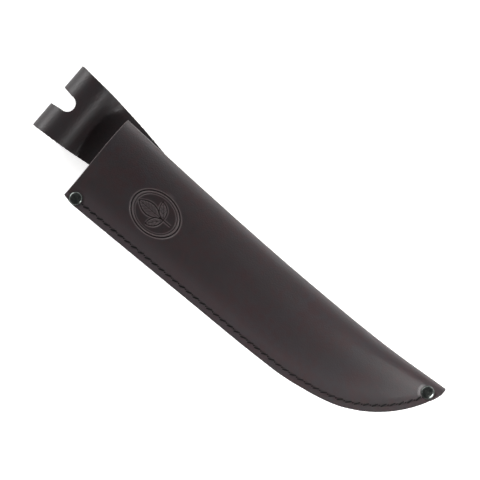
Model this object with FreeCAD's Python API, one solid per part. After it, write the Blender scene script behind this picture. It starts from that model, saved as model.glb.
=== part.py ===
import FreeCAD
import Part

import math
import os

# Leather knife sheath with a folded belt loop, lying on its back.
#
# One hide is folded along the spine of the blade, so the pouch has a front ply, a round fold and a
# back ply. A filler strip lies between the plies along the cut edge, a lockstitch seam holds the
# three layers together, and a double-cap rivet backs each end of the seam. The belt loop is one
# strip folded over the belt, and its two tails are stitched and riveted to the back ply. The strip
# flexes where it leaves the mouth, so it is split there into the loop, which swings, and the tails.
#
# Millimetres. +X runs from the mouth to the tip, +Y towards the fold, +Z out of the front. The
# shapes are drawn with x = 0 at the mouth and z = 0 on the outer face of the strip, and are moved
# together at the end, so that the origin is the centre of the base of the whole.

V = FreeCAD.Vector

# ---- leather, thread and rivets ----
HIDE = 2.8                  # thickness of the pouch leather
FILLER = 2.8                # thickness of the filler strip
STRAP = 2.8                 # thickness of the belt loop strip
STITCH_PITCH = 5.8
STITCH_RUN = 4.2            # length of thread that shows between two holes
THREAD_R = 0.5
GROOVE_DEPTH = 0.6          # the seams lie in a cut groove
GROOVE_WIDTH = 1.3
CAP_R = 4.5
CAP_HEIGHT = 1.6
CAP_RIM = 0.45              # straight rim below the dome
TUBE_R = 1.6
STUD_R = 1.1
RIVET_SLACK = 0.05          # round a tube or a stud in its hole
TUBE_SHORT = 0.6            # the tube stops this far short of the other cap

# ---- pouch ----
LENGTH = 270.8              # mouth to tip
SEAM_INSET = 4.4            # seam line in from the cut edge
FILLER_WIDTH = 9.0
FLANGE_WIDTH = 10.0         # flat margin of the front ply, in from the cut edge
TRIM_Y = -44.0              # the folded hide is made wider than this outline, then cut to it

# cut edge: a clipped corner, a straight run, then the belly that sweeps up to the blunt tip
CUT_CORNER = (0.0, -31.1)
CUT_START = (7.0, -32.7)
BELLY_START = (150.0, -30.0)
BELLY = [BELLY_START, (195.0, -26.7), (228.0, -17.6), (253.0, 0.6), (266.3, 19.4), (270.6, 29.6)]
TIP_Y = 34.4

# outer edge of the fold, which dips a little and sweeps up to the tip
SPINE = [(-6.0, 32.9), (62.0, 30.5), (160.0, 29.2), (228.0, 30.9), (282.0, 35.6)]

# cross-sections: station, thickness of the pouch, and how far in from the fold it is thickest
SECTIONS = [
    (-4.0, 17.0, 18.5), (50.0, 16.4, 18.0), (110.0, 15.7, 17.0), (170.0, 14.8, 15.0), (208.0, 13.6, 12.5),
    (234.0, 11.8, 9.5), (250.0, 10.1, 7.6), (261.0, 8.9, 6.6), (278.0, 8.4, 6.0),
]
FOLD_ROUND = 0.55           # the back ply turns up this share of the thickness in from the fold

# ---- belt loop ----
LOOP_Y = 15.3               # middle of the strip
LOOP_END_X = -45.5          # far side of the fold
CREST_X = -32.5             # where the folded strip stands highest
CREST_Z = 20.0
LOOP_EASE = 0.6             # how steeply the strip dives from its crest to the mouth
FLEX_GAP = 0.3              # round the flex line, and between the loop and the pouch
TAIL_START_X = 3.4
TAIL_END_X = 52.0
TAIL_CORNER = 5.0
LOOP_SIDE = [(-45.5, 25.1), (-20.0, 23.3), (10.0, 19.8), (52.0, 12.5)]   # half width of the strip
NOTCH_R = 5.5
NOTCH_X = -36.4             # centre of the notch's round bottom
NOTCH_MOUTH = 6.8           # half width where the notch opens
TAIL_SEAM_INSET = 4.0
TAIL_SEAM_FAR_Y = 21.0      # this side of the seam keeps to the flat of the back ply, clear of the fold

# ---- where the rivets go ----
MOUTH_RIVET = (7.4, -27.9)
TIP_RIVET = (262.4, 25.0)
UPPER_LOOP_RIVET = (13.5, 10.6)
LOWER_LOOP_RIVET = (45.0, 13.8)

# ---- derived heights ----
BACK = 2 * STRAP                  # outer face of the back ply
CAVITY_FLOOR = BACK + HIDE
SEWN_TOP = BACK + 2 * HIDE + FILLER
FLEX_R = STRAP - FLEX_GAP         # the loop ends in a half round about the flex line
ELLIPSE = 0.5523                  # handle length of a cubic curve that stands for a quarter ellipse


def line(a, b):
    return Part.LineSegment(V(*a), V(*b)).toShape()


def bezier(*poles):
    curve = Part.BezierCurve()
    curve.setPoles([V(*p) for p in poles])
    return curve.toShape()


def spline(points, tangents=None):
    curve = Part.BSplineCurve()
    vectors = [V(x, y, 0) for x, y in points]
    if tangents:
        curve.interpolate(vectors, InitialTangent=tangents[0], FinalTangent=tangents[1])
    else:
        curve.interpolate(vectors)
    return curve


def closed_wire(edges):
    return Part.Wire(Part.__sortEdges__(edges))


def prism(edges, low, high):
    """The solid over a closed plan, between two heights."""
    face = Part.Face(closed_wire(edges))
    face.translate(V(0, 0, low))
    return face.extrude(V(0, 0, high - low))


def start_of(curve):
    return curve.value(curve.FirstParameter)


def end_of(curve):
    return curve.value(curve.LastParameter)


def y_at(curve, x):
    """Where a curve that runs along X crosses a station."""
    low, high = curve.FirstParameter, curve.LastParameter
    for _ in range(50):
        middle = (low + high) / 2
        if curve.value(middle).x < x:
            low = middle
        else:
            high = middle
    return curve.value(low).y


# ---- outlines ----

edge_run = V(BELLY_START[0] - CUT_START[0], BELLY_START[1] - CUT_START[1], 0)
tip_direction = V(0.14, 1, 0)
belly_curve = spline(BELLY, (edge_run, tip_direction * 20))
spine_curve = spline(SPINE)


def cut_edge_y(x):
    if x < BELLY_START[0]:
        return CUT_START[1] + (x - CUT_START[0]) * edge_run.y / edge_run.x
    return y_at(belly_curve, min(x, BELLY[-1][0]))


def pouch_plan():
    """Outline of the pouch, open past the fold, because the fold itself makes that edge."""
    tip_x = LENGTH - 0.3
    beyond = SPINE[0][1] + 10
    corners = [(tip_x, TIP_Y), (tip_x, beyond), (0.0, beyond), CUT_CORNER, CUT_START, BELLY_START]
    edges = [belly_curve.toShape(), line((*BELLY[-1], 0), (tip_x, TIP_Y, 0))]
    edges += [line((*a, 0), (*b, 0)) for a, b in zip(corners, corners[1:])]
    return edges


def inset_curve(distance, start_x, end_y):
    """A curve that follows the cut edge at a distance inside it."""
    along = V(edge_run).normalize()
    inward = V(-along.y, along.x, 0) * distance
    straight_points = 6
    points = []
    for i in range(straight_points):
        x = start_x + (BELLY_START[0] - start_x) * i / straight_points
        points.append(V(x, cut_edge_y(x), 0) + inward)
    belly_points = 16
    first, last = belly_curve.FirstParameter, belly_curve.LastParameter
    for i in range(belly_points + 1):
        at = first + (last - first) * i / belly_points
        along = V(belly_curve.tangent(at)[0])
        point = belly_curve.value(at) + V(-along.y, along.x, 0) * distance
        if point.y > end_y:
            break
        points.append(point)
    curve = Part.BSplineCurve()
    curve.interpolate(points)
    return curve


def region_above(curve):
    """The plan region on the +Y side of a curve that runs along X."""
    beyond = 60.0
    start, end = start_of(curve), end_of(curve)
    return [
        curve.toShape(), line(end, (end.x, beyond, 0)), line((end.x, beyond, 0), (start.x, beyond, 0)),
        line((start.x, beyond, 0), start),
    ]


def strip_solid():
    """The belt loop strip's plan, folded, with the notch across its fold, as a tall prism."""
    low, high = -20, 60
    sides = [spline([(x, LOOP_Y + side * half) for x, half in LOOP_SIDE]).toShape() for side in (-1, 1)]
    top, end = LOOP_END_X, TAIL_END_X
    half = LOOP_SIDE[0][1]
    fold = line((top, LOOP_Y - half, 0), (top, LOOP_Y + half, 0))
    half = LOOP_SIDE[-1][1]
    tail = end + TAIL_CORNER
    corner = half - TAIL_CORNER
    ends = [line((tail, LOOP_Y - corner, 0), (tail, LOOP_Y + corner, 0))]
    for side in (-1, 1):
        ends.append(bezier(
            (end, LOOP_Y + side * half, 0), (tail, LOOP_Y + side * (half - 0.6), 0),
            (tail, LOOP_Y + side * corner, 0)))
    strip = prism(sides + ends + [fold], low, high)
    lean = math.radians(8)
    touch_x = NOTCH_X - NOTCH_R * math.sin(lean)
    touch = NOTCH_R * math.cos(lean)
    outside = top - 1
    notch = [
        Part.Arc(V(touch_x, LOOP_Y - touch, 0), V(NOTCH_X + NOTCH_R, LOOP_Y, 0),
                 V(touch_x, LOOP_Y + touch, 0)).toShape(),
        line((outside, LOOP_Y - NOTCH_MOUTH, 0), (outside, LOOP_Y + NOTCH_MOUTH, 0)),
    ]
    for side in (-1, 1):
        notch.append(line((touch_x, LOOP_Y + side * touch, 0), (outside, LOOP_Y + side * NOTCH_MOUTH, 0)))
    return strip.cut(prism(notch, low, high))


# ---- leather ----

def pouch_section(x, thickness, crest_inset):
    """Cross-section of the folded hide at a station, as one closed wire."""
    def skin(inset):
        fold_y = y_at(spine_curve, x) - inset
        crest_y = y_at(spine_curve, x) - crest_inset
        back_y = y_at(spine_curve, x) - FOLD_ROUND * thickness
        rise_y = min(cut_edge_y(x) + FLANGE_WIDTH, crest_y - 3)
        top, bottom, sewn = BACK + thickness - inset, BACK + inset, SEWN_TOP - inset
        middle = (top + bottom) / 2
        ease = 0.42 * (crest_y - rise_y)
        over = crest_y + ELLIPSE * (fold_y - crest_y)
        under = back_y + ELLIPSE * (fold_y - back_y)
        half = ELLIPSE * (top - bottom) / 2
        return [
            line((x, TRIM_Y, sewn), (x, rise_y, sewn)),
            bezier((x, rise_y, sewn), (x, rise_y + ease, sewn), (x, crest_y - ease, top), (x, crest_y, top)),
            bezier((x, crest_y, top), (x, over, top), (x, fold_y, middle + half), (x, fold_y, middle)),
            bezier((x, fold_y, middle), (x, fold_y, middle - half), (x, under, bottom), (x, back_y, bottom)),
            line((x, back_y, bottom), (x, TRIM_Y, bottom)),
        ]
    ends = [
        line((x, TRIM_Y, BACK), (x, TRIM_Y, CAVITY_FLOOR)),
        line((x, TRIM_Y, SEWN_TOP - HIDE), (x, TRIM_Y, SEWN_TOP)),
    ]
    return Part.Wire(skin(0.0) + [ends[0]] + skin(HIDE)[::-1] + [ends[1]])


def rivet_hole(place, low, high):
    return Part.makeCylinder(TUBE_R + RIVET_SLACK, high - low + 2, V(*place, low - 1))


def seam_groove(low):
    half = GROOVE_WIDTH / 2
    outer, inner = [inset_curve(SEAM_INSET + d, 10.0, TIP_RIVET[1] - 2) for d in (-half, half)]
    edges = [outer.toShape(), inner.toShape()]
    edges += [line(start_of(outer), start_of(inner)), line(end_of(outer), end_of(inner))]
    return prism(edges, low, low + GROOVE_DEPTH)


def make_pouch():
    hide = Part.makeLoft([pouch_section(*s) for s in SECTIONS], True, False)
    hide = hide.common(prism(pouch_plan(), 0, 40))
    hide = hide.cut(seam_groove(SEWN_TOP - GROOVE_DEPTH)).cut(seam_groove(BACK))
    for place in (MOUTH_RIVET, TIP_RIVET):
        seat = Part.makeCylinder(CAP_R + RIVET_SLACK, CAP_HEIGHT * 2, V(*place, SEWN_TOP))
        hide = hide.cut(rivet_hole(place, BACK, SEWN_TOP)).cut(seat)
    for place in (UPPER_LOOP_RIVET, LOWER_LOOP_RIVET):
        hide = hide.cut(rivet_hole(place, BACK, CAVITY_FLOOR))
    return hide


def make_filler():
    """The strip sewn between the plies. It stops short of the fold at the tip."""
    strip = prism(pouch_plan(), CAVITY_FLOOR, CAVITY_FLOOR + FILLER)
    clear = SECTIONS[-1][2] + 0.4
    near_fold = spline([(x, y - clear) for x, y in SPINE])
    for limit in (inset_curve(FILLER_WIDTH, -20.0, 60.0), near_fold):
        strip = strip.cut(prism(region_above(limit), 0, 40))
    for place in (MOUTH_RIVET, TIP_RIVET):
        strip = strip.cut(rivet_hole(place, BACK, SEWN_TOP))
    return strip


def loop_side_view(inset):
    """Side view of the folded strip: its outside at inset 0, the belt slot at the strip's thickness."""
    crest, floor, turn_x = CREST_Z - inset, inset, LOOP_END_X + inset
    turn_z = (crest + floor) / 2 - 0.5
    out = ELLIPSE * (CREST_X - turn_x)
    edges = [
        bezier((CREST_X, 0, floor), (CREST_X - out, 0, floor),
               (turn_x, 0, turn_z - ELLIPSE * (turn_z - floor)), (turn_x, 0, turn_z)),
        bezier((turn_x, 0, turn_z), (turn_x, 0, turn_z + ELLIPSE * (crest - turn_z)),
               (CREST_X - out, 0, crest), (CREST_X, 0, crest)),
    ]
    flex_top, flex_low = STRAP + FLEX_R, STRAP - FLEX_R
    slot_end_x, slot_end_z = -5.0, floor + 0.5
    if inset == 0.0:
        meet_x, meet_z = -1.0, flex_top
        edges += [
            line((meet_x, 0, meet_z), (0, 0, flex_top)),
            Part.Arc(V(0, 0, flex_top), V(FLEX_R, 0, STRAP), V(0, 0, flex_low)).toShape(),
            line((0, 0, flex_low), (slot_end_x, 0, 0)), line((slot_end_x, 0, 0), (CREST_X, 0, 0)),
        ]
    else:
        meet_x, meet_z = slot_end_x, slot_end_z
        edges += [
            line((meet_x, 0, meet_z), (meet_x, 0, floor)), line((meet_x, 0, floor), (CREST_X, 0, floor)),
        ]
    ease = LOOP_EASE * (meet_x - CREST_X)
    edges.append(bezier((CREST_X, 0, crest), (CREST_X + ease, 0, crest), (meet_x - ease, 0, meet_z),
                        (meet_x, 0, meet_z)))
    return closed_wire(edges)


def make_belt_loop():
    width = 80.0

    def across(inset):
        face = Part.Face(loop_side_view(inset))
        face.translate(V(0, LOOP_Y - width / 2, 0))
        return face.extrude(V(0, width, 0))
    return across(0.0).cut(across(STRAP)).common(strip_solid())


def make_tail(low):
    tail = Part.makeBox(60, 80, STRAP, V(TAIL_START_X, LOOP_Y - 40, low)).common(strip_solid())
    if low == 0.0:
        tail = tail.cut(tail_groove())
    for place in (UPPER_LOOP_RIVET, LOWER_LOOP_RIVET):
        tail = tail.cut(rivet_hole(place, low, low + STRAP))
    return tail


# ---- thread ----

def tail_seam():
    """The two sides and the lower end of the seam that holds the tails, as pairs of points."""
    start, end = TAIL_START_X + 3.6, TAIL_END_X + TAIL_CORNER - TAIL_SEAM_INSET
    near_start = LOOP_Y - LOOP_SIDE[2][1] + TAIL_SEAM_INSET
    half_end = LOOP_SIDE[3][1] - TAIL_SEAM_INSET
    corners = [(start, near_start), (end, LOOP_Y - half_end), (end, TAIL_SEAM_FAR_Y), (start, TAIL_SEAM_FAR_Y)]
    return [(V(*a, 0), V(*b, 0)) for a, b in zip(corners, corners[1:])]


def tail_groove():
    bars = []
    for a, b in tail_seam():
        bar = Part.makeBox((b - a).Length + GROOVE_WIDTH, GROOVE_WIDTH, GROOVE_DEPTH)
        bar.translate(V(-GROOVE_WIDTH / 2, -GROOVE_WIDTH / 2, 0))
        bar.rotate(V(0, 0, 0), V(0, 0, 1), math.degrees(math.atan2(b.y - a.y, b.x - a.x)))
        bar.translate(a)
        bars.append(bar)
    return bars[0].multiFuse(bars[1:])


def stitch(middle, direction, z):
    """One run of thread between two holes: a round bar with domed ends."""
    half = STITCH_RUN / 2 - THREAD_R
    start = V(middle.x, middle.y, z) - direction * half
    end = start + direction * (2 * half)
    bar = Part.makeCylinder(THREAD_R, 2 * half, start, direction)
    ends = [Part.makeSphere(THREAD_R, place) for place in (start, end)]
    return bar.multiFuse(ends).removeSplitter()


def seam_stitches(z):
    path = inset_curve(SEAM_INSET, 12.5, TIP_RIVET[1] - CAP_R)
    size = path.length()
    count = round(size / STITCH_PITCH)
    stitches = []
    for i in range(count):
        at = path.parameterAtDistance((i + 0.5) * size / count, path.FirstParameter)
        stitches.append(stitch(path.value(at), V(path.tangent(at)[0]), z))
    return Part.makeCompound(stitches)


def tail_stitches(z):
    stitches = []
    for a, b in tail_seam():
        size = (b - a).Length
        direction = (b - a).normalize()
        count = round(size / STITCH_PITCH)
        for i in range(count):
            stitches.append(stitch(a + direction * ((i + 0.5) * size / count), direction, z))
    return Part.makeCompound(stitches)


# ---- rivets ----

def cap(place, z, turned_over):
    """A low dome with a short straight rim, standing on a face at height z."""
    shoulder = CAP_HEIGHT * 0.85
    profile = closed_wire([
        line((0, 0, 0), (CAP_R, 0, 0)), line((CAP_R, 0, 0), (CAP_R, 0, CAP_RIM)),
        bezier((CAP_R, 0, CAP_RIM), (CAP_R - 0.2, 0, shoulder), (CAP_R * 0.55, 0, CAP_HEIGHT),
               (0, 0, CAP_HEIGHT)),
        line((0, 0, CAP_HEIGHT), (0, 0, 0)),
    ])
    dome = Part.Face(profile).revolve(V(0, 0, 0), V(0, 0, 1), 360)
    if turned_over:
        dome.rotate(V(0, 0, 0), V(1, 0, 0), 180)
    dome.translate(V(*place, z))
    return dome


def make_rivet(place, low, high):
    """The two halves of a double-cap rivet: the upper has the tube, the lower the stud that fills it."""
    grip = high - low
    tube_z = low + TUBE_SHORT
    tube = Part.makeCylinder(TUBE_R, high - tube_z, V(*place, tube_z))
    tube = tube.cut(Part.makeCylinder(STUD_R + RIVET_SLACK, grip - 2 * TUBE_SHORT, V(*place, tube_z)))
    stud = Part.makeCylinder(STUD_R, grip - 2 * TUBE_SHORT, V(*place, low))
    return cap(place, high, False).fuse(tube), cap(place, low, True).fuse(stud)


# ---- put the sub-parts together and write them ----

def make_nodes():
    nodes = {
        "pouch_leather": make_pouch(),
        "edge_filler": make_filler(),
        "belt_loop": make_belt_loop(),
        "loop_inner_tail": make_tail(STRAP),
        "loop_outer_tail": make_tail(0.0),
        "seam_thread_front": seam_stitches(SEWN_TOP - GROOVE_DEPTH + THREAD_R),
        "seam_thread_back": seam_stitches(BACK + GROOVE_DEPTH - THREAD_R),
        "loop_thread_outside": tail_stitches(GROOVE_DEPTH - THREAD_R),
        "loop_thread_inside": tail_stitches(CAVITY_FLOOR + THREAD_R),
    }
    for name, place in (("mouth_rivet", MOUTH_RIVET), ("tip_rivet", TIP_RIVET)):
        nodes[name + "_cap"], nodes[name + "_stud"] = make_rivet(place, BACK, SEWN_TOP)
    for name, place in (("upper_loop_rivet", UPPER_LOOP_RIVET), ("lower_loop_rivet", LOWER_LOOP_RIVET)):
        nodes[name + "_cap"], nodes[name + "_stud"] = make_rivet(place, 0.0, CAVITY_FLOOR)
    return nodes


def main():
    nodes = make_nodes()
    box = nodes["pouch_leather"].optimalBoundingBox(True, False)
    for name in ("belt_loop", "upper_loop_rivet_stud"):
        box.add(nodes[name].optimalBoundingBox(True, False))
    to_origin = V(-box.Center.x, -box.Center.y, -box.ZMin)
    print("moved by", [round(c, 3) for c in to_origin])
    os.makedirs("parts", exist_ok=True)
    for name, shape in nodes.items():
        shape.translate(to_origin)
        shape.exportStep(f"parts/{name}.step")
        print(f"{name}: valid {shape.isValid()}, {len(shape.Solids)} solids, {shape.Volume:.0f} mm3")


main()
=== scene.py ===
import math

import bmesh
import bpy
import numpy as np
from mathutils import Matrix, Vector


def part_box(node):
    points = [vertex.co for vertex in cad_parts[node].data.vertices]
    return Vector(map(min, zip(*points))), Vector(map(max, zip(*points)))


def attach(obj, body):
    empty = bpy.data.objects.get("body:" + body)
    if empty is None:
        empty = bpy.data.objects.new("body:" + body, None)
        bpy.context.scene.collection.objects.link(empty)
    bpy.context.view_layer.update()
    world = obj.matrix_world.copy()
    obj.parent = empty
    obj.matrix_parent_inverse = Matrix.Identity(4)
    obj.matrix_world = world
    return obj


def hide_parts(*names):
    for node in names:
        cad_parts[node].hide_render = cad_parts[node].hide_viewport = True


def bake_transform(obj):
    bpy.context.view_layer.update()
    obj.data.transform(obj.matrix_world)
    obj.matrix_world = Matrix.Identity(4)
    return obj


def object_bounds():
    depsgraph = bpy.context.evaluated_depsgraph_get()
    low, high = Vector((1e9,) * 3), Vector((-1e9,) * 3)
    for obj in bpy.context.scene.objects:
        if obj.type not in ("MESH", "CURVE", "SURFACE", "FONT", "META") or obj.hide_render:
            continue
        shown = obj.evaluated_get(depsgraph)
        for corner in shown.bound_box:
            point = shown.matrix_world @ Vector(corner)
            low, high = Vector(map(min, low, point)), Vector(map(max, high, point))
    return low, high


# Leather knife sheath, lying on a light table.
# Lengths below are in millimetres, from the mouth (x), the middle of the mouth (y) and the outside of the
# belt strap (z). inFrame() turns them into metres in the model's own frame.

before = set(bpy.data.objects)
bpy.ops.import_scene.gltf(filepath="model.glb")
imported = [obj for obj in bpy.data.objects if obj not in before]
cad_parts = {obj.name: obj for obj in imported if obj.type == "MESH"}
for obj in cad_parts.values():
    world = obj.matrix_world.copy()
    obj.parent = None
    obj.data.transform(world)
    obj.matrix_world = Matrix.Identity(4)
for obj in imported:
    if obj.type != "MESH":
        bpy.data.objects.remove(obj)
cadLow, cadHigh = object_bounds()
mm = 0.001


def inFrame(points):
    return np.asarray(points, float) * mm + origin


def through(points, x):  # smooth curve through a few points, read at x
    xs, ys = np.array(points, float).T
    slope = np.gradient(ys, xs)
    i = np.clip(np.searchsorted(xs, x) - 1, 0, len(xs) - 2)
    step = xs[i + 1] - xs[i]
    t = (x - xs[i]) / step
    t2, t3 = t * t, t * t * t
    return ((2 * t3 - 3 * t2 + 1) * ys[i] + (t3 - 2 * t2 + t) * step * slope[i]
            + (3 * t2 - 2 * t3) * ys[i + 1] + (t3 - t2) * step * slope[i + 1])


def fromHex(code):  # sRGB hex to linear
    channels = [int(code[i:i + 2], 16) / 255 for i in (0, 2, 4)]
    return [c / 12.92 if c <= 0.04045 else ((c + 0.055) / 1.055) ** 2.4 for c in channels] + [1.0]


def addNode(tree, kind, inputs=None, **settings):
    made = tree.nodes.new(kind)
    for name, value in settings.items():
        setattr(made, name, value)
    for key, value in (inputs or {}).items():
        if isinstance(value, bpy.types.NodeSocket):
            tree.links.new(value, made.inputs[key])
        else:
            made.inputs[key].default_value = value
    return made


def calc(tree, operation, *terms):
    return addNode(tree, "ShaderNodeMath", dict(enumerate(terms)), operation=operation).outputs[0]


def remap(tree, value, start, stop, low, high, **settings):
    return addNode(tree, "ShaderNodeMapRange", {"Value": value, "From Min": start, "From Max": stop,
                                                "To Min": low, "To Max": high}, **settings).outputs[0]


def noise(tree, place, size, detail, **more):  # size of the largest blotches in metres
    inputs = {"Vector": place, "Scale": 1 / size, "Detail": detail}
    inputs.update(more)
    return addNode(tree, "ShaderNodeTexNoise", inputs).outputs["Fac"]


def blend(tree, share, under, over):  # colours
    return addNode(tree, "ShaderNodeMix", {0: share, 6: under, 7: over}, data_type="RGBA").outputs[2]


def ramp(tree, factor, stops):
    made = addNode(tree, "ShaderNodeValToRGB", {"Fac": factor})
    elements, stops = made.color_ramp.elements, list(stops)
    while len(elements) < len(stops):
        elements.new(0.5)
    for element, (place, colour) in zip(elements, stops):
        element.position = place
        element.color = colour
    return made.outputs["Color"]


def hexRamp(tree, factor, *stops):
    return ramp(tree, factor, [(place, fromHex(code)) for place, code in stops])


def attribute(tree, name):
    return addNode(tree, "ShaderNodeAttribute", attribute_name=name).outputs["Fac"]


def newMaterial(name):
    made = bpy.data.materials.new(name)
    made.use_nodes = True
    made.node_tree.nodes.clear()
    return made, made.node_tree


def coordinates(tree):
    return addNode(tree, "ShaderNodeTexCoord").outputs["Object"]


def finishMaterial(tree, height, strength, inputs):  # height in metres, or None for a plain surface
    if height:
        inputs["Normal"] = addNode(tree, "ShaderNodeBump", {
            "Height": height, "Distance": 1.0, "Strength": strength}).outputs[0]
    shader = addNode(tree, "ShaderNodeBsdfPrincipled", inputs)
    addNode(tree, "ShaderNodeOutputMaterial", {"Surface": shader.outputs[0]})


def newMesh(name, vertices, faces):
    mesh = bpy.data.meshes.new(name)
    mesh.from_pydata([tuple(v) for v in vertices], [], faces)
    mesh.polygons.foreach_set("use_smooth", [True] * len(mesh.polygons))
    made = bpy.data.objects.new(name, mesh)
    bpy.context.collection.objects.link(made)
    return made


def applied(obj):  # the evaluated mesh takes the place of the modifiers
    bpy.context.view_layer.update()
    evaluated = obj.evaluated_get(bpy.context.evaluated_depsgraph_get())
    mesh = bpy.data.meshes.new_from_object(evaluated)
    obj.modifiers.clear()
    obj.data = mesh
    return obj


# Vegetable tanned cowhide, drum dyed dark brown, oiled and plated smooth: cloudy where the dye and the oil
# took unevenly, with a fine tight grain and a soft waxy shine.
def oiledCowhide(name, tones, blush, seamed):
    made, tree = newMaterial(name)
    place = coordinates(tree)
    clouds = noise(tree, place, 0.030, 3.0, Roughness=0.55, Distortion=0.4)
    patches = noise(tree, place, 0.017, 2.0, Roughness=0.5)
    grain = addNode(tree, "ShaderNodeTexVoronoi", {"Vector": place, "Scale": 1 / 0.0009, "Randomness": 1.0})
    pull = noise(tree, place, 0.0035, 4.0, Roughness=0.6)
    mottle = noise(tree, place, 0.0042, 2.0, Roughness=0.6)
    share = calc(tree, "ADD", calc(tree, "MULTIPLY", patches, 0.45), calc(tree, "MULTIPLY", mottle, 0.55))
    body = hexRamp(tree, clouds, *zip((0.32, 0.50, 0.68), tones))
    colour = blend(tree, remap(tree, share, 0.44, 0.62, 0.0, 0.85), body, fromHex(blush))
    shine = remap(tree, clouds, 0.3, 0.7, 0.47, 0.40)
    height = calc(tree, "ADD", calc(tree, "MULTIPLY", grain.outputs["Distance"], 0.00010),
                  calc(tree, "MULTIPLY", pull, 0.00006))
    inputs = {"Roughness": shine, "IOR": 1.46}
    if seamed:
        away = calc(tree, "ABSOLUTE", attribute(tree, "seamAway"))
        # die lines and sunken panel coloured near black: partly the hide pressed darker by the die, partly
        # painted shade in the recesses
        pressedDarkAndShaded = attribute(tree, "pressedDarkAndShaded")
        # creased groove under the thread, and an awl hole between each two stitches, both bumped down and
        # also coloured darker: painted shade in the hollows
        groove = remap(tree, away, 0.0, seam["grooveHalf"] * mm, 1.0, 0.0, interpolation_type="SMOOTHSTEP")
        middle = calc(tree, "SUBTRACT", calc(tree, "FRACT", attribute(tree, "seamAlong")), 0.5)
        off = calc(tree, "SUBTRACT", 0.5, calc(tree, "ABSOLUTE", middle))
        off = calc(tree, "MULTIPLY", off, seam["pitch"] * mm)
        flat = addNode(tree, "ShaderNodeCombineXYZ", {"X": away, "Y": off}).outputs[0]
        fromHole = addNode(tree, "ShaderNodeVectorMath", {0: flat}, operation="LENGTH").outputs["Value"]
        hole = remap(tree, fromHole, 0.25 * mm, 0.70 * mm, 1.0, 0.0, interpolation_type="SMOOTHSTEP")
        height = calc(tree, "SUBTRACT", height, calc(tree, "MULTIPLY", groove, 0.0005))
        height = calc(tree, "SUBTRACT", height, calc(tree, "MULTIPLY", hole, 0.0007))
        shade = calc(tree, "MAXIMUM", calc(tree, "MULTIPLY", groove, 0.28), hole)
        # painted highlight: the hide heaped beside the die lines is coloured lighter, as if light caught the
        # burrs
        raisedHighlight = calc(tree, "MULTIPLY", attribute(tree, "raisedHighlight"), 0.65)
        # mixed in turn: painted light on the margin, painted shade in the seam creases and awl holes, die
        # lines darker (pressed hide and painted shade), painted highlight on the burrs
        for amount, code in ((attribute(tree, "paintedFlangeLight"), "3b3336"), (shade, "0d0b0b"),
                             (pressedDarkAndShaded, "0e0808"), (raisedHighlight, "6a5f60")):
            colour = blend(tree, amount, colour, fromHex(code))
        # the creases, awl holes and die lines also lose most of their shine: painted shade standing in for
        # the dark of those hollows
        shineLostToShade = calc(tree, "MAXIMUM", shade, pressedDarkAndShaded)
        inputs["Specular IOR Level"] = remap(tree, shineLostToShade, 0.0, 1.0, 0.5, 0.06)
    inputs["Base Color"] = colour
    finishMaterial(tree, height, 0.6, inputs)
    return made


# The flesh side of the same hide: unfinished, napped and matt, a shade browner.
def fleshSide():
    made, tree = newMaterial("hideFleshSide")
    place = coordinates(tree)
    nap = noise(tree, place, 0.0012, 6.0, Roughness=0.7)
    mixed = calc(tree, "MULTIPLY", nap, noise(tree, place, 0.012, 3.0))
    finishMaterial(tree, calc(tree, "MULTIPLY", nap, 0.0003), 0.8, {
        "Base Color": hexRamp(tree, mixed, (0.12, "2a201c"), (0.42, "43342c")), "Roughness": 0.92,
        "Specular IOR Level": 0.25, "Sheen Weight": 0.25, "Sheen Roughness": 0.5})
    return made


# Cut edge of the hide, dyed and slicked by hand: the fibres lie in fine layers along the edge.
def slickedEdge():
    made, tree = newMaterial("slickedHideEdge")
    place = coordinates(tree)
    layers = addNode(tree, "ShaderNodeMapping", {"Vector": place, "Scale": (0.45, 0.45, 1.0)}).outputs[0]
    fibres = noise(tree, layers, 0.0007, 5.0, Roughness=0.65)
    colour = hexRamp(tree, fibres, (0.3, "2c2320"), (0.62, "54494a"), (0.85, "665b5c"))
    finishMaterial(tree, calc(tree, "MULTIPLY", fibres, 0.0003), 0.7, {
        "Base Color": colour, "Roughness": 0.55, "IOR": 1.48})
    return made


# Waxed polyester sewing thread: plain black, with hardly a shine.
def waxedThread():
    made, tree = newMaterial("waxedThread")
    finishMaterial(tree, None, 0.0, {
        "Base Color": fromHex("050505"), "Roughness": 0.62, "Specular IOR Level": 0.2})
    return made


# Steel double-cap rivet in black nickel plate: a dark mirror with a faint haze and rubbed spots.
def blackNickel():
    made, tree = newMaterial("blackNickelPlate")
    place = coordinates(tree)
    haze = noise(tree, place, 0.0016, 4.0, Roughness=0.6)
    finishMaterial(tree, calc(tree, "MULTIPLY", haze, 0.00003), 0.5, {
        "Base Color": hexRamp(tree, haze, (0.35, "4c504e"), (0.7, "6c706d")), "Metallic": 1.0,
        "Roughness": remap(tree, haze, 0.3, 0.75, 0.16, 0.30)})
    return made


# Opal acrylic light table: matt white, lit a little from below, so what lies on it throws hardly a shadow.
def opalAcrylic():
    made, tree = newMaterial("opalAcrylic")
    place = coordinates(tree)
    tooth = addNode(tree, "ShaderNodeTexNoise", {"Vector": place, "Scale": 900.0, "Detail": 2.0})
    finishMaterial(tree, None, 0.0, {
        "Base Color": hexRamp(tree, tooth.outputs["Fac"], (0.3, "f1f1f0"), (0.7, "f4f4f3")),
        "Roughness": 0.9, "Specular IOR Level": 0.1,
        "Emission Color": fromHex("ffffff"), "Emission Strength": studio["tableGlow"]})
    return made


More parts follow.
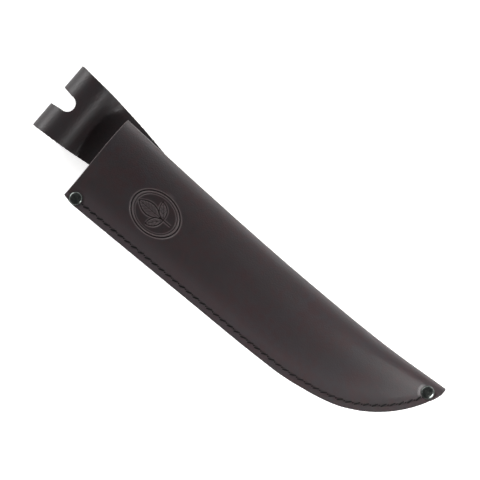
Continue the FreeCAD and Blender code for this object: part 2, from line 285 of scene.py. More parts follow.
pouch = {
    "hide": 2.8,                 # leather thickness
    "length": 270.6,
    "cutStart": (7.0, -32.7),    # end of the clipped corner
    "cornerY": -31.1,
    "bellyStart": 150.0,
    "bellyLead": (60.0, -31.5),  # on the straight cut, so that the belly leaves it without a kink
    "sewnWidth": 10.0,           # flat margin along the cut edge
    "edgeRound": 0.55,
    "foldRound": 0.55,
    "unevenness": 0.10,
    "spine": [(-30, 33.9), (62, 30.5), (160, 29.2), (228, 30.9), (282, 35.6)],
    "belly": [(150, -30.0), (195, -26.7), (228, -17.6), (253, 0.6), (266.3, 19.4), (270.6, 29.6)],
    "thickness": [(-4, 17.0), (50, 16.4), (110, 15.7), (170, 14.8), (208, 13.6), (234, 11.8),
                  (250, 10.1), (261, 8.9), (272, 8.4)],
    "crestIn": [(-4, 18.5), (50, 18.0), (110, 17.0), (170, 15.0), (208, 12.5), (234, 9.5), (250, 7.6),
                (261, 6.6), (278, 6.0)],
}

seam = {
    "inset": 4.4,                # in from the cut edge
    "pitch": 5.8,
    "run": 4.5,                  # thread that shows between two holes
    "threadRadius": 0.60,
    "proud": 0.12,               # how far the line of the thread stands off the hide
    "grooveHalf": 1.1,
    "slant": 21.0,               # degrees, each stitch against the line
    "firstX": 12.5,
    "lastY": 20.5,
    "tail": [(7.0, -0.5), (53.0, 6.8), (53.0, 21.0), (7.0, 21.0)],   # open towards the mouth
}


def cutEdge(x):  # y of the cut edge at a station
    x = np.asarray(x, float)
    (startX, startY), bellyX = pouch["cutStart"], pouch["bellyStart"]
    bellyY = pouch["belly"][0][1]
    corner = pouch["cornerY"] + (startY - pouch["cornerY"]) * x / startX
    straight = startY + (bellyY - startY) * (x - startX) / (bellyX - startX)
    return np.where(x < startX, corner, np.where(x < bellyX, straight, bellyAt(x)))


def bellyAt(x):  # the belly is steep at the tip, so it is drawn against its own length and then read at x
    points = np.array([pouch["bellyLead"]] + pouch["belly"])
    run = runOf(points)
    fine = np.linspace(run[1], run[-1], 600)
    xs = through(np.column_stack([run, points[:, 0]]), fine)
    ys = through(np.column_stack([run, points[:, 1]]), fine)
    return np.interp(x, xs, ys)


def seamPath():  # x, y of the seam, from the mouth rivet to the tip rivet
    xs = np.concatenate([np.linspace(-4, 150, 80), np.linspace(151, 262, 160), np.linspace(262.1, 270.5, 60)])
    edge = np.column_stack([xs, cutEdge(np.maximum(xs, pouch["cutStart"][0]))])
    along = np.gradient(edge, axis=0)
    along /= np.linalg.norm(along, axis=1)[:, None]
    inner = edge + np.column_stack([-along[:, 1], along[:, 0]]) * seam["inset"]
    return inner[(inner[:, 0] >= seam["firstX"]) & (inner[:, 1] <= seam["lastY"])]


def runOf(points):  # distance along a line of points
    return np.concatenate([[0], np.cumsum(np.hypot(*np.diff(points, axis=0).T))])


def stitchCount(path):
    return round(float(runOf(path)[-1]) / seam["pitch"])


def alongPath(points, path):  # distance from a path, and the place along it in stitches
    reach = 14               # further from the path than this, the hide shows nothing of the seam
    length = runOf(path)
    away = np.full(len(points), 1.0)
    along = np.zeros(len(points))
    level = np.interp(points[:, 0], path[:, 0], path[:, 1])
    for i in np.where(points[:, 1] < level + reach)[0]:
        k = int(np.argmin(((points[i] - path) ** 2).sum(1)))
        best = None
        for j in (k - 1, k):
            if 0 <= j < len(path) - 1:
                step = path[j + 1] - path[j]
                t = float(np.clip(((points[i] - path[j]) @ step) / (step @ step), 0, 1))
                gap = float(np.linalg.norm(points[i] - path[j] - t * step))
                if best is None or gap < best[0]:
                    best = (gap, length[j] + t * (length[j + 1] - length[j]))
        side = np.sign(points[i][1] - level[i]) or 1.0
        away[i], along[i] = side * best[0] * mm, best[1]
    return away, along * stitchCount(path) / length[-1]


emblem = {
    "centre": (53.3, -1.9),
    "halfLength": 17.5,
    "halfWidth": 13.6,
    "lineWidth": 0.52,
    "depth": 0.62,
    "panelDepth": 0.16,
    "burr": 0.13,
    # turn, length, width and root of each leaf
    "leaves": [(0, 18.0, 8.0, 4.0), (50, 12.0, 5.2, 6.5), (-50, 12.0, 5.2, 6.5)],
    "fineMesh": 19.5,            # reach of the finer mesh on each side of the centre
    "stemX": 12.5,
}


def emblemPress(x, y):  # a sprig of three leaves in an oval: 1 where the die pressed deepest
    width = emblem["lineWidth"]
    burr = np.zeros(np.shape(x))

    def line(distance, scale=1.0):  # a pressed line, with the hide heaped up a little on both sides
        # the heaped hide beside each line is also painted lighter later, as a highlight
        raisedHighlight = scale * np.exp(-((distance / width - 1.75 * scale) / 0.55) ** 2)
        np.maximum(burr, raisedHighlight, out=burr, where=near)
        return np.clip(1 - (distance / (width * scale)) ** 2, 0, 1)

    across, down = y - emblem["centre"][1], x - emblem["centre"][0]
    radius = np.hypot(across / emblem["halfWidth"], down / emblem["halfLength"])
    size = (emblem["halfWidth"] + emblem["halfLength"]) / 2
    rim = (radius - 1) * size
    near = np.abs(rim) < 6
    press = np.maximum(line(np.abs(rim)), 0.8 * line(np.abs(rim + 1.9), 0.7))
    near = (down > 4) & (down < emblem["stemX"])
    press = np.maximum(press, np.where(near, line(np.abs(across), 0.8), 0))
    for turn, length, leafWidth, rootX in emblem["leaves"]:
        angle = math.radians(turn)
        p = -(down - rootX) * math.cos(angle) + across * math.sin(angle)
        q = (down - rootX) * math.sin(angle) + across * math.cos(angle)
        inside = near = (p > 0) & (p < length)
        half = leafWidth / 2 * np.sin(math.pi * np.clip(p / length, 0, 1)) ** 0.85
        press = np.maximum(press, np.where(inside, line(np.abs(np.abs(q) - half), 0.85), 0))
        press = np.maximum(press, np.where(inside, 0.8 * line(np.abs(q), 0.6), 0))
        veins = np.abs((p - 1.1 * np.abs(q)) % 2.6 - 1.3) * 0.67
        near = inside & (np.abs(q) < half * 0.85)
        press = np.maximum(press, np.where(near, 0.55 * line(veins, 0.5), 0))
    return press, np.clip(-rim / 0.8, 0, 1), burr * (1 - press)


def capDent(x, y):  # the hide is drawn down round the two front caps
    low = 0.0
    for name in ("mouth_rivet_cap", "tip_rivet_cap"):
        corner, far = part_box(name)
        centre = ((np.array(corner) + np.array(far)) / 2 - origin) / mm
        away = np.hypot(x - centre[0], y - centre[1])
        low = low + rivet["dent"] * np.exp(-(np.clip(away - rivet["radius"], 0, 9) / 1.0) ** 2)
    return low


def pouchRows():  # shares across the front and back, and angles round the fold
    lip = np.array([0, 0.25, 0.6, 1.0])
    front = np.concatenate([np.linspace(0, 0.28, 23)[1:], np.linspace(0.28, 1, 83)[1:]])
    over = np.linspace(0, math.pi / 2, 14)[1:]
    under = np.linspace(math.pi / 2, 0, 10)[1:]
    back = np.linspace(0, 1, 18)[1:]
    return lip, front, over, under, back


def pouchStations():  # closer together at both ends and under the emblem
    mouth = [0, 0.08, 0.22, 0.42, 0.7, 1.2]
    low = emblem["centre"][0] - emblem["fineMesh"]
    high = emblem["centre"][0] + emblem["fineMesh"]
    spans = [np.arange(1.7, 14.5, 0.55), np.arange(14.9, low, 1.7), np.arange(low, high, 0.38),
             np.arange(high, 236, 1.9), np.arange(236, 262, 0.9), np.arange(262, 269.6, 0.45)]
    end = pouch["length"] - np.array([0.75, 0.45, 0.22, 0.08, 0])
    return np.concatenate([mouth] + spans + [end])


def pouchSection(x, inner):  # y, z of one skin round the fold, from front cut edge to back cut edge
    hide, lipSize = pouch["hide"], pouch["edgeRound"]
    foldY = float(through(pouch["spine"], x))
    thick = float(through(pouch["thickness"], x))
    cutY = float(cutEdge(x))
    crestY = max(foldY - float(through(pouch["crestIn"], x)), cutY + 1.2)
    backY = max(foldY - pouch["foldRound"] * thick, cutY + 1.2)
    riseY = min(cutY + pouch["sewnWidth"], crestY - 1.0)
    ends = min(x, pouch["length"] - x)
    slope = float(cutEdge(min(x + 0.2, pouch["length"])) - cutEdge(x - 0.2)) / 0.4
    lean = 1 / math.hypot(1, slope) if x > pouch["bellyStart"] else 1.0

    def drop(distance):  # rounding of a cut edge
        d = np.clip(distance, 0, lipSize)
        return lipSize - np.sqrt(lipSize ** 2 - (lipSize - d) ** 2)

    def inset(distance):
        fall = np.minimum(drop(distance) + drop(ends), lipSize)
        return hide - fall if inner else fall

    lip, front, over, under, back = pouchRows()
    lipY = lip * lipSize / lean
    lipY = lipY * min(1.0, 0.5 * (crestY - cutY) / lipY[-1])
    frontY = np.concatenate([cutY + lipY, cutY + lipY[-1] + (crestY - cutY - lipY[-1]) * front])
    gap = inset((frontY - cutY) * lean)
    t = np.clip((frontY - riseY) / (crestY - riseY), 0, 1)
    lift = t * t * (3 - 2 * t)
    frontZ = sewnZ + (backZ + thick - sewnZ) * lift - gap
    gap = inset(9.0)
    middle = backZ + thick / 2
    overY = crestY + (foldY - gap - crestY) * np.sin(over)
    overZ = middle + (thick / 2 - gap) * np.cos(over)
    underY = backY + (foldY - gap - backY) * np.sin(under)
    underZ = middle - (thick / 2 - gap) * np.cos(under)
    lipY = lip[::-1] * lipSize / lean
    lipY = lipY * min(1.0, 0.5 * (backY - cutY) / lipY[0])
    backYs = np.concatenate([backY + (cutY + lipY[0] - backY) * back, cutY + lipY[1:]])
    backZs = backZ + inset((backYs - cutY) * lean)
    return np.column_stack([np.concatenate([frontY, overY, underY, backYs]),
                            np.concatenate([frontZ, overZ, underZ, backZs])])


def pouchFaces(count, across):  # two skins, closed all round, and the material slot of each face
    half, last, end = count * across, across - 1, count - 1

    def at(i, j, skin):
        return skin * half + i * across + j

    faces, slots = [], []
    for i in range(end):
        for j in range(last):
            faces.append((at(i, j, 0), at(i + 1, j, 0), at(i + 1, j + 1, 0), at(i, j + 1, 0)))
            faces.append((at(i, j, 1), at(i, j + 1, 1), at(i + 1, j + 1, 1), at(i + 1, j, 1)))
            slots += [2 if i < 3 else 0, 1]
    for i in range(end):
        faces.append((at(i, 0, 0), at(i, 0, 1), at(i + 1, 0, 1), at(i + 1, 0, 0)))
        faces.append((at(i, last, 0), at(i + 1, last, 0), at(i + 1, last, 1), at(i, last, 1)))
    for j in range(last):
        faces.append((at(0, j, 0), at(0, j + 1, 0), at(0, j + 1, 1), at(0, j, 1)))
        faces.append((at(end, j, 0), at(end, j, 1), at(end, j + 1, 1), at(end, j + 1, 0)))
    return faces, slots + [2] * (2 * end + 2 * last)


def makePouch():
    stations = pouchStations()
    outer, inner = [np.array([np.column_stack([np.full(len(section), x), section])
                              for x, section in ((x, pouchSection(x, side)) for x in stations)])
                    for side in (False, True)]
    lip, front = pouchRows()[:2]
    frontRows = len(lip) + len(front)
    press, panel, burr = np.zeros((3,) + outer.shape[:2])
    area = outer[:, :frontRows]
    (press[:, :frontRows], panel[:, :frontRows],
     burr[:, :frontRows]) = emblemPress(area[..., 0], area[..., 1])
    outer[..., 2] += burr * emblem["burr"] - press * emblem["depth"] - panel * emblem["panelDepth"]
    outer[:, :frontRows, 2] -= capDent(area[..., 0], area[..., 1])
    share = np.linspace(0, math.pi, frontRows)   # none at the cut edge or the crest
    swell = np.sin(area[..., 0] / 13.0 + area[..., 1] / 21.0) + np.sin(area[..., 0] / 29.0 + 1.3)
    outer[:, :frontRows, 2] += pouch["unevenness"] * swell * np.sin(share) ** 2
    faces, slots = pouchFaces(*outer.shape[:2])
    made = newMesh("pouchHide", inFrame(np.concatenate([outer.reshape(-1, 3), inner.reshape(-1, 3)])), faces)
    mesh = made.data
    hide = oiledCowhide("oiledCowhidePouch", ("221b1d", "262022", "282326"), "2b1b1d", True)
    for material in (hide, materials["flesh"], materials["edge"]):
        mesh.materials.append(material)
    mesh.polygons.foreach_set("material_index", slots)
    away, along = alongPath(outer.reshape(-1, 3)[:, :2], seamPath())
    # painted light: the sewn margin and the hide up to 16 mm inside the seam are coloured lighter, strongest
    # at the mouth and gone by 210 mm along
    inward = np.clip((away / mm + 6) / 22, 0, 1)
    toMouth = 1 - np.clip(outer[..., 0].reshape(-1) / 210, 0, 1)
    paintedFlangeLight = (1 - inward * inward * (3 - 2 * inward)) * toMouth * (np.abs(away) < 0.5)
    # marks the die lines and panel for darkening: partly pressed hide, partly painted shade
    pressedDarkAndShaded = np.maximum(press, 0.22 * panel).reshape(-1)
    values = {"raisedHighlight": burr.reshape(-1), "paintedFlangeLight": paintedFlangeLight, "seamAway": away, "seamAlong": along,
              "pressedDarkAndShaded": pressedDarkAndShaded}
    for name, data in values.items():
        layer = mesh.attributes.new(name, "FLOAT", "POINT")
        inside = np.full(len(data), 1.0 if name == "seamAway" else 0.0)
        layer.data.foreach_set("value", np.concatenate([data, inside]).astype(np.float32))
    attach(made, "sheath")
    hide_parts("pouch_leather")
    print("pouch", len(mesh.polygons), "faces")


def inputId(tree, name):
    for item in tree.interface.items_tree:
        if item.item_type == "SOCKET" and item.in_out == "INPUT" and item.name == name:
            return item.identifier


def newTree(name, sizes):
    tree = bpy.data.node_groups.new(name, "GeometryNodeTree")
    tree.interface.new_socket("Geometry", in_out="INPUT", socket_type="NodeSocketGeometry")
    tree.interface.new_socket("Geometry", in_out="OUTPUT", socket_type="NodeSocketGeometry")
    for label, (kind, value) in sizes.items():
        socket = tree.interface.new_socket(label, in_out="INPUT", socket_type="NodeSocket" + kind)
        if value is not None:
            socket.default_value = value
    return tree, tree.nodes.new("NodeGroupInput"), tree.nodes.new("NodeGroupOutput")


def runTree(obj, tree, values):
    modifier = obj.modifiers.new(tree.name, "NODES")
    modifier.node_group = tree
    for name, value in values.items():
        modifier[inputId(tree, name)] = value
    return applied(obj)


def finishTree(tree, out, geometry, material):
    real = addNode(tree, "GeometryNodeRealizeInstances", {"Geometry": geometry})
    painted = addNode(tree, "GeometryNodeSetMaterial", {"Geometry": real.outputs[0], "Material": material})
    tree.links.new(painted.outputs[0], out.inputs[0])


def newPath(name, points):  # a run of edges
    mesh = bpy.data.meshes.new(name)
    mesh.from_pydata([tuple(p) for p in points], [(i, i + 1) for i in range(len(points) - 1)], [])
    made = bpy.data.objects.new(name, mesh)
    bpy.context.collection.objects.link(made)
    return made


def stitchTree():  # lays one stitch over each pitch of a path, slanted, with a little play from a fixed seed
    tree, given, out = newTree("lockstitch", {
        "Stitches": ("Int", 45), "Run": ("Float", 0.0044), "Thread Radius": ("Float", 0.0005),
        "Slant": ("Float", 0.12), "Seed": ("Int", 4), "Thread": ("Material", None)})
    radius = given.outputs["Thread Radius"]
    count = calc(tree, "ADD", calc(tree, "MULTIPLY", given.outputs["Stitches"], 2.0), 1.0)
    line = addNode(tree, "GeometryNodeMeshToCurve", {"Mesh": given.outputs["Geometry"]})
    points = addNode(tree, "GeometryNodeCurveToPoints", {"Curve": line.outputs[0], "Count": count},
                     mode="COUNT")
    odd = calc(tree, "MODULO", addNode(tree, "GeometryNodeInputIndex").outputs[0], 2.0)
    even = addNode(tree, "FunctionNodeCompare", {0: odd, 1: 0.5}, operation="LESS_THAN", data_type="FLOAT")
    middles = addNode(tree, "GeometryNodeDeleteGeometry", {
        "Geometry": points.outputs["Points"], "Selection": even.outputs[0]}, domain="POINT")
    # one stitch: a straight run swept round, thin where it dives into the leather
    halfRun = calc(tree, "MULTIPLY", given.outputs["Run"], 0.5)
    start = addNode(tree, "ShaderNodeCombineXYZ", {"X": calc(tree, "MULTIPLY", halfRun, -1.0)})
    end = addNode(tree, "ShaderNodeCombineXYZ", {"X": halfRun})
    run = addNode(tree, "GeometryNodeCurvePrimitiveLine", {"Start": start.outputs[0], "End": end.outputs[0]})
    run = addNode(tree, "GeometryNodeResampleCurve", {"Curve": run.outputs[0], "Count": 8})
    along = addNode(tree, "GeometryNodeSplineParameter").outputs["Factor"]
    arch = calc(tree, "POWER", calc(tree, "SINE", calc(tree, "MULTIPLY", along, math.pi)), 0.45)
    sink = calc(tree, "SUBTRACT", calc(tree, "MULTIPLY", arch, radius), radius)
    lift = addNode(tree, "ShaderNodeCombineXYZ", {"Z": sink})
    run = addNode(tree, "GeometryNodeSetPosition", {"Geometry": run.outputs[0], "Offset": lift.outputs[0]})
    ring = addNode(tree, "GeometryNodeCurvePrimitiveCircle", {"Resolution": 8, "Radius": radius})
    body = addNode(tree, "GeometryNodeCurveToMesh", {
        "Curve": run.outputs[0], "Profile Curve": ring.outputs[0], "Fill Caps": True,
        "Scale": remap(tree, arch, 0.0, 1.0, 0.6, 1.0)})
    body = addNode(tree, "GeometryNodeSetShadeSmooth", {"Geometry": body.outputs[0]})
    play = addNode(tree, "FunctionNodeRandomValue", {2: -0.05, 3: 0.05, "Seed": given.outputs["Seed"]},
                   data_type="FLOAT")
    turn = calc(tree, "ADD", given.outputs["Slant"], play.outputs[1])
    tangent = addNode(tree, "ShaderNodeSeparateXYZ", {0: points.outputs["Tangent"]})
    heading = calc(tree, "ADD", calc(tree, "ARCTAN2", tangent.outputs[1], tangent.outputs[0]), turn)
    facing = addNode(tree, "ShaderNodeCombineXYZ", {"Z": heading})
    laid = addNode(tree, "GeometryNodeInstanceOnPoints", {
        "Points": middles.outputs[0], "Instance": body.outputs[0], "Rotation": facing.outputs[0]})
    finishTree(tree, out, laid.outputs[0], given.outputs["Thread"])
    return tree


def sew(name, points, stitches, up, tree):
    flip = 1 if up else -1
    path = newPath(name, [(x, y * flip, z * flip) for x, y, z in inFrame(points)])
    made = runTree(path, tree, {
        "Stitches": stitches, "Run": seam["run"] * mm, "Thread Radius": seam["threadRadius"] * mm,
        "Slant": math.radians(seam["slant"]), "Thread": materials["thread"]})
    if not up:  # laid face up on a mirrored path, then turned over about the long axis
        made.data.transform(Matrix.Rotation(math.pi, 4, "X"))
    return made


def makeSeams():
    tree = stitchTree()
    path = seamPath()
    edge = [(path, stitchCount(path))]
    tail = [(np.array(side), round(math.dist(*side) / seam["pitch"]))
            for side in zip(seam["tail"], seam["tail"][1:])]
    proud = seam["proud"]
    for name, runs, z, up, node in (
            ("seamThreadFront", edge, sewnZ + proud, True, "seam_thread_front"),
            ("seamThreadBack", edge, backZ - proud, False, "seam_thread_back"),
            ("tailThreadOutside", tail, -proud, False, "loop_thread_outside"),
            ("tailThreadInside", tail, backZ + pouch["hide"] + proud, True, "loop_thread_inside")):
        sewn = [sew(name, np.column_stack([line, np.full(len(line), z)]), stitches, up, tree)
                for line, stitches in runs]
        made = sewn[0] if len(sewn) == 1 else joined(name, sewn)
        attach(made, "sheath")
        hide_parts(node)
        print(name, sum(stitches for line, stitches in runs), "stitches")


def joined(name, parts):
    gathered = bmesh.new()
    for part in parts:
        gathered.from_mesh(part.data)
        bpy.data.objects.remove(part)
    made = newMesh(name, [], [])
    gathered.to_mesh(made.data)
    gathered.free()
    made.data.materials.append(materials["thread"])
    made.data.polygons.foreach_set("material_index", [0] * len(made.data.polygons))
    return made


strap = {
    "hide": 2.8,
    "middleY": 15.3,
    "foldX": -45.5,
    "crest": (-32.5, 20.0),
    "ease": 0.6,                 # how steeply it dives from the crest to the mouth
    "tailEnd": 57.0,
    "tailCorner": 5.0,
    "halfWidth": [(-45.5, 25.1), (-20, 23.3), (10, 19.8), (52, 12.5), (60, 11.0)],
    "notchCentre": -36.4,
    "notchRadius": 5.5,
    "notchMouth": 6.8,
    "edgeRound": 0.5,
    "bendFrom": 1.0,             # the bend at the mouth runs from here
    "bendTo": -13.0,
}


def strapSide():  # the strip's middle line in side view: inner tail, rise, fold, outer tail
    hide = strap["hide"]
    crestX, crestZ = strap["crest"]
    topZ, lowZ = crestZ - hide / 2, hide / 2
    turnX = strap["foldX"] + hide / 2
    turnZ = (topZ + lowZ) / 2 - 0.4
    innerZ = 1.5 * hide - 0.05
    quarter = 0.5523             # handle length of a cubic curve that stands for a quarter ellipse
    tail = [(strap["tailEnd"], innerZ), (26.0, innerZ)]
    t = np.linspace(0, 1, 26)[:, None]

    def bezier(*p):
        p = np.array(p, float)
        return (1 - t) ** 3 * p[0] + 3 * (1 - t) ** 2 * t * p[1] + 3 * (1 - t) * t * t * p[2] + t ** 3 * p[3]

    meetX = -1.0
    ease = strap["ease"] * (meetX - crestX)
    out = quarter * (crestX - turnX)
    rise = bezier((meetX, innerZ), (meetX - ease, innerZ), (crestX + ease, topZ), (crestX, topZ))
    over = bezier((crestX, topZ), (crestX - out, topZ), (turnX, turnZ + quarter * (topZ - turnZ)),
                  (turnX, turnZ))
    under = bezier((turnX, turnZ), (turnX, turnZ - quarter * (turnZ - lowZ)), (crestX - out, lowZ),
                   (crestX, lowZ))
    return np.concatenate([tail, rise, over[1:], under[1:], [(0.0, lowZ), (strap["tailEnd"], lowZ)]])


def strapTree():  # spreads a side-view path across the strip's width, which the path's points carry
    tree, given, out = newTree("foldedStrip", {
        "Step": ("Float", 0.0012), "Middle": ("Float", 0.0), "Across": ("Int", 26),
        "Leather": ("Material", None)})

    def store(curve, name, value, kind):
        return addNode(tree, "GeometryNodeStoreNamedAttribute", {
            "Geometry": curve, "Name": name, "Value": value}, data_type=kind, domain="POINT").outputs[0]

    def read(name, kind):
        return addNode(tree, "GeometryNodeInputNamedAttribute", {"Name": name}, data_type=kind).outputs[0]

    path = addNode(tree, "GeometryNodeMeshToCurve", {"Mesh": given.outputs["Geometry"]})
    path = addNode(tree, "GeometryNodeResampleCurve", {"Curve": path.outputs[0],
                                                       "Length": given.outputs["Step"]}, mode="LENGTH")
    line = addNode(tree, "GeometryNodeCurvePrimitiveLine", {"Start": (-1, 0, 0), "End": (1, 0, 0)})
    line = addNode(tree, "GeometryNodeResampleCurve", {"Curve": line.outputs[0],
                                                       "Count": given.outputs["Across"]})
    place = addNode(tree, "GeometryNodeInputPosition").outputs[0]
    acrossLine = addNode(tree, "ShaderNodeSeparateXYZ", {0: place}).outputs[0]
    sheet = addNode(tree, "GeometryNodeCurveToMesh", {
        "Curve": store(path.outputs[0], "spineAt", place, "FLOAT_VECTOR"),
        "Profile Curve": store(line.outputs[0], "side", acrossLine, "FLOAT")})
    spread = calc(tree, "MULTIPLY", read("side", "FLOAT"), read("halfWidth", "FLOAT"))
    where = addNode(tree, "ShaderNodeSeparateXYZ", {0: read("spineAt", "FLOAT_VECTOR")})
    final = addNode(tree, "ShaderNodeCombineXYZ", {
        "X": where.outputs[0], "Y": calc(tree, "ADD", spread, given.outputs["Middle"]),
        "Z": where.outputs[2]})
    sheet = addNode(tree, "GeometryNodeSetPosition", {"Geometry": sheet.outputs[0],
                                                      "Position": final.outputs[0]})
    finishTree(tree, out, sheet.outputs[0], given.outputs["Leather"])
    return tree


def notchCutter():
    centre, radius, mouth = strap["notchCentre"], strap["notchRadius"], strap["notchMouth"] + 0.2
    lean = math.radians(8)
    pastFold = strap["foldX"] - 2
    turns = np.linspace(math.pi / 2 + lean, -math.pi / 2 - lean, 33)
    outline = [(centre + radius * math.cos(a), radius * math.sin(a)) for a in turns]
    outline = [(pastFold, mouth)] + outline + [(pastFold, -mouth)]
    vertices = [(x, y + strap["middleY"], z) for z in (-5, 26) for x, y in outline]
    n = len(outline)
    faces = [tuple(range(n)), tuple(range(2 * n - 1, n - 1, -1))]
    faces += [(i, i + n, (i + 1) % n + n, (i + 1) % n) for i in range(n)]
    made = newMesh("notchCutter", inFrame(vertices), faces)
    fixed = bmesh.new()
    fixed.from_mesh(made.data)
    bmesh.ops.recalc_face_normals(fixed, faces=fixed.faces)
    fixed.to_mesh(made.data)
    fixed.free()
    return made


def makeStrap():
    side = strapSide()
    run = runOf(side)
    fine = np.linspace(0, run[-1], 420)
    xs, zs = np.interp(fine, run, side[:, 0]), np.interp(fine, run, side[:, 1])
    half = through(strap["halfWidth"], xs)
    half = half + 0.08 * np.sin(1.9 * xs) + 0.06 * np.sin(4.3 * xs + 1.0)   # where the knife wandered
    corner = strap["tailCorner"]
    past = np.clip(xs - (strap["tailEnd"] - corner), 0, corner)
    half = half - (corner - np.sqrt(corner ** 2 - past ** 2)) * 0.92
    places = inFrame(np.column_stack([xs, np.zeros(len(xs)), zs]))
    path = newPath("beltStrap", places)
    width = path.data.attributes.new("halfWidth", "FLOAT", "POINT")
    width.data.foreach_set("value", (half * mm).astype(np.float32))
    middle = float(inFrame([(0, strap["middleY"], 0)])[0][1])
    made = runTree(path, strapTree(), {"Step": 0.0011, "Middle": middle, "Leather": materials["hide"]})
    solid = made.modifiers.new("thickness", "SOLIDIFY")
    solid.thickness = strap["hide"] * mm
    solid.offset = 0.0
    solid.use_even_offset = True
    solid.material_offset, solid.material_offset_rim = 1, 2
    for material in (materials["flesh"], materials["edge"]):
        made.data.materials.append(material)
    cutter = notchCutter()
    cutter.data.materials.append(materials["edge"])
    cut = made.modifiers.new("notch", "BOOLEAN")
    cut.operation = "DIFFERENCE"
    cut.solver = "EXACT"
    cut.material_mode = "TRANSFER"
    cut.object = cutter
    lip = made.modifiers.new("edges", "BEVEL")
    lip.width = strap["edgeRound"] * mm
    lip.segments = 3
    lip.limit_method = "ANGLE"
    lip.angle_limit = math.radians(50)
    applied(made)
    bpy.data.objects.remove(cutter)
    made.data.polygons.foreach_set("use_smooth", [True] * len(made.data.polygons))
    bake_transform(made)
    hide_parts("belt_loop", "loop_inner_tail", "loop_outer_tail")
    print("strap", len(made.data.polygons), "faces")


rivet = {
    "radius": 4.5,
    "height": 1.6,
    "dent": 0.30,                # how far the front caps draw the hide down
    "hub": 1.0,                  # radius of the circle that the profile is swept round
    "profile": [(4.12, 0.0), (4.5, 0.10), (4.5, 0.42), (4.38, 0.84), (4.05, 1.16), (3.55, 1.38), (2.9, 1.50),
                (1.5, 1.58), (0.0, 1.6)],   # radius, height
}


def rivetTree():  # turns a half profile into a cap and sets one on every point, facing up or down
    tree, given, out = newTree("doubleCap", {"Steps": ("Int", 40), "Profile": ("Object", None),
                                             "Plate": ("Material", None)})
    shape = addNode(tree, "GeometryNodeObjectInfo", {"Object": given.outputs["Profile"]},
                    transform_space="ORIGINAL")
    circle = addNode(tree, "GeometryNodeCurvePrimitiveCircle", {"Resolution": given.outputs["Steps"],
                                                                "Radius": rivet["hub"] * mm})
    outline = addNode(tree, "GeometryNodeMeshToCurve", {"Mesh": shape.outputs["Geometry"]})
    cap = addNode(tree, "GeometryNodeCurveToMesh", {"Curve": circle.outputs[0],
                                                    "Profile Curve": outline.outputs[0]})
    cap = addNode(tree, "GeometryNodeMergeByDistance", {"Geometry": cap.outputs[0], "Distance": 0.00001})
    cap = addNode(tree, "GeometryNodeSetShadeSmooth", {"Geometry": cap.outputs[0]})
    down = addNode(tree, "GeometryNodeInputNamedAttribute", {"Name": "faceDown"}, data_type="FLOAT")
    facing = addNode(tree, "ShaderNodeCombineXYZ", {"X": calc(tree, "MULTIPLY", down.outputs[0], math.pi)})
    laid = addNode(tree, "GeometryNodeInstanceOnPoints", {
        "Points": given.outputs["Geometry"], "Instance": cap.outputs[0], "Rotation": facing.outputs[0]})
    finishTree(tree, out, laid.outputs[0], given.outputs["Plate"])
    return tree


def makeRivets():
    names = ["mouth_rivet", "tip_rivet", "upper_loop_rivet", "lower_loop_rivet"]
    height = rivet["height"] * mm
    tree = rivetTree()
    profile = newPath("rivetProfile", [((r - rivet["hub"]) * mm, -h * mm, 0) for r, h in rivet["profile"]])
    for label, ending, down in (("rivetCaps", "_cap", 0.0), ("rivetBacks", "_stud", 1.0)):
        seats = []
        for name in names:
            low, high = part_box(name + ending)
            z = low[2] + height if down else high[2] - height
            seats.append(((low[0] + high[0]) / 2, (low[1] + high[1]) / 2, z))
        points = newMesh(label, seats, [])
        layer = points.data.attributes.new("faceDown", "FLOAT", "POINT")
        layer.data.foreach_set("value", [down] * len(seats))
        made = runTree(points, tree, {"Profile": profile, "Plate": materials["plate"]})
        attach(made, "sheath")
        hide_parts(*[name + ending for name in names])
        print(label, len(made.data.polygons), "faces")
    bpy.data.objects.remove(profile)


def dressFiller():  # the filler strip keeps its own shape, with the slicked edge that shows between the plies
    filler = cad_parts["edge_filler"]
    filler.data.materials.clear()
    filler.data.materials.append(materials["edge"])
    print("filler dressed")


studio = {
    "spin": 40.6,                # degrees, how the sheath lies across the frame
    "aim": (-0.0068, 0.0170),
    "width": 0.312,              # metres across the frame at the sheath
    "lens": 150.0,
    "tipPower": 0.44,
    "loopPower": 1.12,
    "spinePower": 0.9,
    "roomLow": 1.7,
    "roomMiddle": 0.9,
    "roomTop": 0.174,
    "roomShade": 0.3,            # the side the light doesn't come from
    "roomBright": 1.38,          # the side it comes from
    "tableGlow": 0.60,
    "tableSize": 3.0,            # metres from the middle to each side
}


def makeFloor():  # lies under the caps the sheath rests on, so it has their slight tilt
    low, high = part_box("lower_loop_rivet_stud")
    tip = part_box("tip_rivet_stud")[0]
    nearX = (low[0] + high[0]) / 2
    slope = (tip[2] - low[2]) / (tip[0] - nearX)
    size, gap = studio["tableSize"], 0.00005
    corners = [(x, y, low[2] - gap + (x - nearX) * slope)
               for x, y in ((-size, -size), (size, -size), (size, size), (-size, size))]
    floor = newMesh("lightTable", corners, [(0, 1, 2, 3)])
    floor.data.materials.append(opalAcrylic())
    print("floor laid")


def addSoftbox(name, target, direction, elevation, distance, size, power, spread):
    light = bpy.data.lights.new(name, "AREA")
    light.shape = "RECTANGLE"
    light.size, light.size_y = size
    light.energy = power
    light.spread = math.radians(spread)
    made = bpy.data.objects.new(name, light)
    bpy.context.collection.objects.link(made)
    turn, rise = math.radians(direction), math.radians(elevation)
    toward = (math.cos(turn) * math.cos(rise), math.sin(turn) * math.cos(rise), math.sin(rise))
    made.location = [t + distance * c for t, c in zip(target, toward)]
    made.rotation_euler = (math.pi / 2 - rise, 0, turn + math.pi / 2)


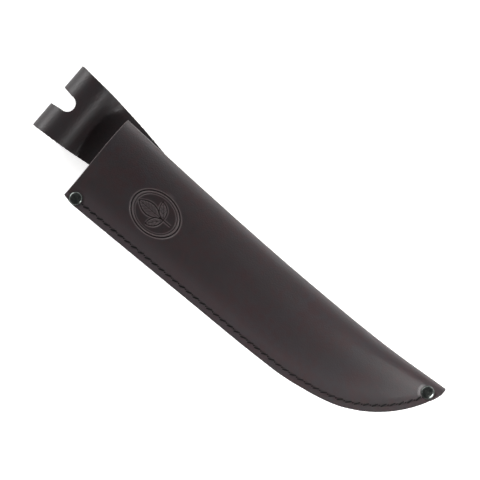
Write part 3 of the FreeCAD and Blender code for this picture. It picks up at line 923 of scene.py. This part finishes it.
def lightStudio():
    tip, loop = (cadHigh[0] - 0.02, 0.01, 0.01), (cadLow[0] + 0.02, 0.01, 0.02)
    addSoftbox("tipSoftbox", tip, 0, 48, 0.6, (0.4, 0.25), studio["tipPower"], 28)
    addSoftbox("loopSoftbox", loop, 180, 30, 0.8, (0.6, 0.25), studio["loopPower"], 90)
    addSoftbox("spineSoftbox", (0, 0.03, 0.01), 90, 7, 0.8, (1.0, 0.2), studio["spinePower"], 140)
    world = bpy.data.worlds.new("studioRoom")
    bpy.context.scene.world = world
    world.use_nodes = True
    tree = world.node_tree
    tree.nodes.clear()
    direction = addNode(tree, "ShaderNodeTexCoord").outputs["Generated"]
    height = addNode(tree, "ShaderNodeSeparateXYZ", {0: direction}).outputs["Z"]
    sky = ramp(tree, height, [(place, [studio[key]] * 3 + [1]) for place, key in
                              ((0.0, "roomLow"), (0.55, "roomMiddle"), (0.92, "roomTop"))])
    side = addNode(tree, "ShaderNodeVectorMath", {0: direction, 1: (-0.45, 0.89, 0.0)},
                   operation="DOT_PRODUCT").outputs["Value"]
    strength = remap(tree, side, -0.9, 0.9, studio["roomShade"], studio["roomBright"])
    light = addNode(tree, "ShaderNodeBackground", {"Color": sky, "Strength": strength})
    addNode(tree, "ShaderNodeOutputWorld", {"Surface": light.outputs[0]})
    print("studio lit")


def addCamera():
    sheathMiddle = 0.012
    data = bpy.data.cameras.new("overhead")
    data.lens = studio["lens"]
    data.sensor_width = 36.0
    made = bpy.data.objects.new("overhead", data)
    bpy.context.collection.objects.link(made)
    distance = studio["width"] * studio["lens"] / data.sensor_width
    made.location = (*studio["aim"], distance + sheathMiddle)
    made.rotation_euler = (0, 0, math.radians(studio["spin"]))
    bpy.context.scene.camera = made
    print("camera set")


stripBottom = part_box("loop_outer_tail")[0][2]
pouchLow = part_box("pouch_leather")[0]
origin = np.array([pouchLow[0], pouchLow[1] - pouch["cutStart"][1] * mm, stripBottom])
backZ = 2 * strap["hide"]                 # outer face of the back ply
sewnZ = backZ + 3 * pouch["hide"]         # front face of the sewn edge

materials = {
    # the strap's copy of the hide is coloured darker than the pouch's: painted shade over the whole strap
    "hide": oiledCowhide("oiledCowhideStrapShadedDarker", ("1d181a", "201b1d", "221e20"), "25191b", False),
    "flesh": fleshSide(),
    "edge": slickedEdge(),
    "thread": waxedThread(),
    "plate": blackNickel(),
}
print("materials made")
makePouch()
makeSeams()
makeStrap()
makeRivets()
dressFiller()
makeFloor()
lightStudio()
addCamera()
bpy.context.scene.view_settings.view_transform = "Standard"
